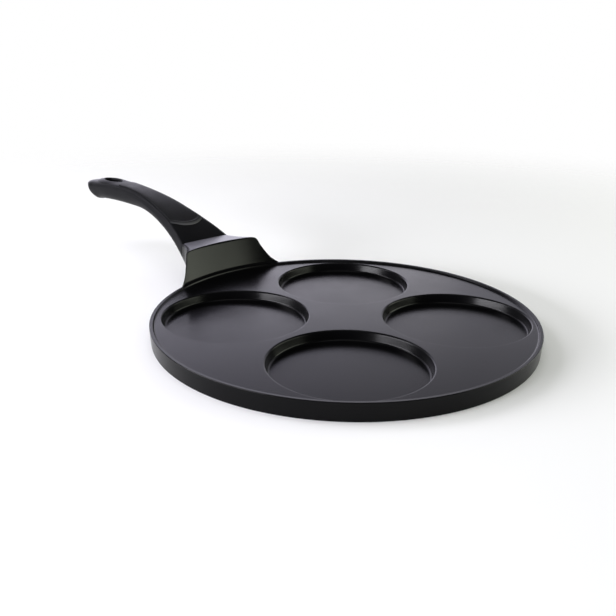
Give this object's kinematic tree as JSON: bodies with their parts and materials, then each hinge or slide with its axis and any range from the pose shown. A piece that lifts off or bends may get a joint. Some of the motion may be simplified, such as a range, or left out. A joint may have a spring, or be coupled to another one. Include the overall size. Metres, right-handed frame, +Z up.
{
  "type": "pancake pan",
  "caption": "Flat round cast pan with shallow round wells for small pancakes, a raised rim, a flared cast bracket and an arched moulded handle with a hanging eye.",
  "frame": {"origin": "centre of the flat base, on the surface that the pan stands on", "axes": "+Z up, +X along the handle from the pan towards its tip, so the part is symmetric about the XZ plane"},
  "size_m": [0.4593, 0.26, 0.0622],
  "materials": {
    "nonstick_coat": "cast aluminium under a dark satin non-stick coat, base turned flat",
    "phenolic": "satin black phenolic moulding",
    "soft_inlay": "matt black soft-touch inlay",
    "zinc_steel": "zinc plated steel"
  },
  "bodies": {
    "root": {"pan_body": "nonstick_coat", "handle_grip": "phenolic", "grip_pad": "soft_inlay", "handle_screw": "zinc_steel", "spring_washer": "zinc_steel", "flat_washer": "zinc_steel"}
  },
  "joints": []
}
